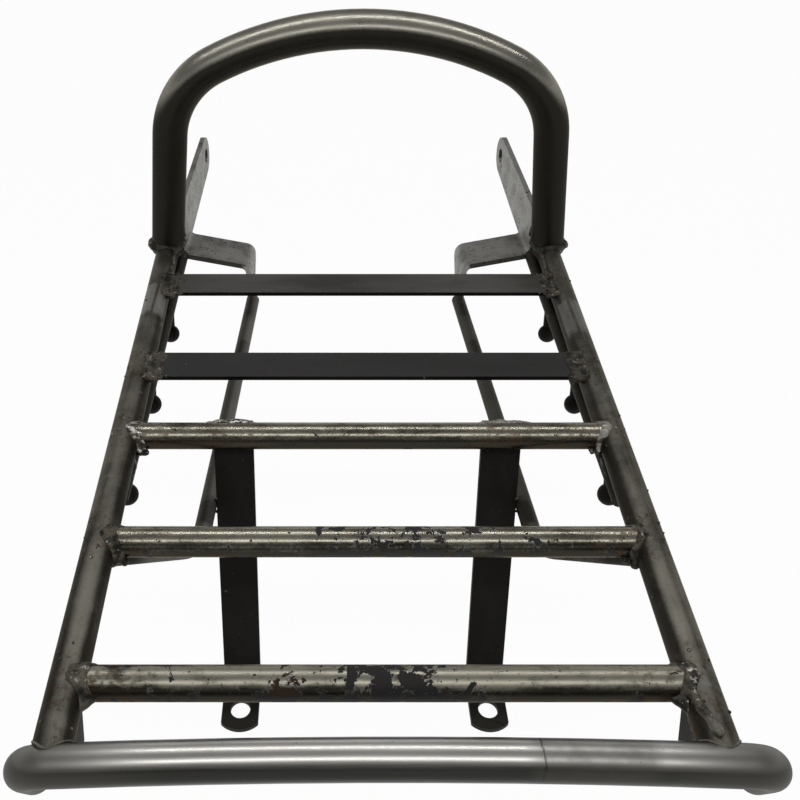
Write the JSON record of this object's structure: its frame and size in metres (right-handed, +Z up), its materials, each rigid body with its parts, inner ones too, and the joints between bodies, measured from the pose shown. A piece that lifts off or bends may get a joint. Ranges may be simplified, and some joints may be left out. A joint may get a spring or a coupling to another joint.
{
  "type": "motorcycle luggage rack",
  "caption": "Welded steel rear luggage rack for a motorcycle: a ladder deck of tubes and flat slats with an upright front hoop, bolt-on feet, front ears and ball-ended bungee hooks.",
  "frame": {"origin": "Midway between the bolt holes of the two rear feet, on the underside of the feet.", "axes": "X to the right, Y forward to the hoop and the front ears, Z up."},
  "size_m": [0.3121, 0.5577, 0.3343],
  "materials": {
    "polished_bar": "cool grey, polished by handling, with soft streaks",
    "worn_tube": "brown-grey satin with scuffs and bare patches",
    "flaked_plating": "silvery plating flaked off in dark patches",
    "dark_flat_bar": "near-black satin paint with worn edges",
    "bare_plate": "pale matte grey, pitted, with rust specks",
    "dull_rod": "dull grey with dark mottling",
    "black_hook": "near-black, worn",
    "weld_metal": "lumpy dark weld with bright spots and a little rust"
  },
  "bodies": {
    "root": {"rear_bar": "polished_bar", "left_rail": "worn_tube", "right_rail": "worn_tube", "front_hoop": "worn_tube", "fifth_cross_tube": "flaked_plating", "fourth_cross_tube": "flaked_plating", "third_cross_tube": "flaked_plating", "second_slat": "dark_flat_bar", "front_slat": "dark_flat_bar", "left_rear_strap": "dark_flat_bar", "right_rear_strap": "dark_flat_bar", "left_rear_gusset": "dark_flat_bar", "right_rear_gusset": "dark_flat_bar", "left_front_bracket": "bare_plate", "right_front_bracket": "bare_plate", "left_lower_rod": "dull_rod", "right_lower_rod": "dull_rod", "left_strut": "dull_rod", "right_strut": "dull_rod", "left_rear_hook": "black_hook", "left_middle_hook": "black_hook", "left_front_hook": "black_hook", "right_rear_hook": "black_hook", "right_middle_hook": "black_hook", "right_front_hook": "black_hook", "slat_welds": "weld_metal", "bracket_welds": "weld_metal", "strut_welds": "weld_metal", "strap_welds": "weld_metal", "gusset_welds": "weld_metal"}
  },
  "joints": []
}
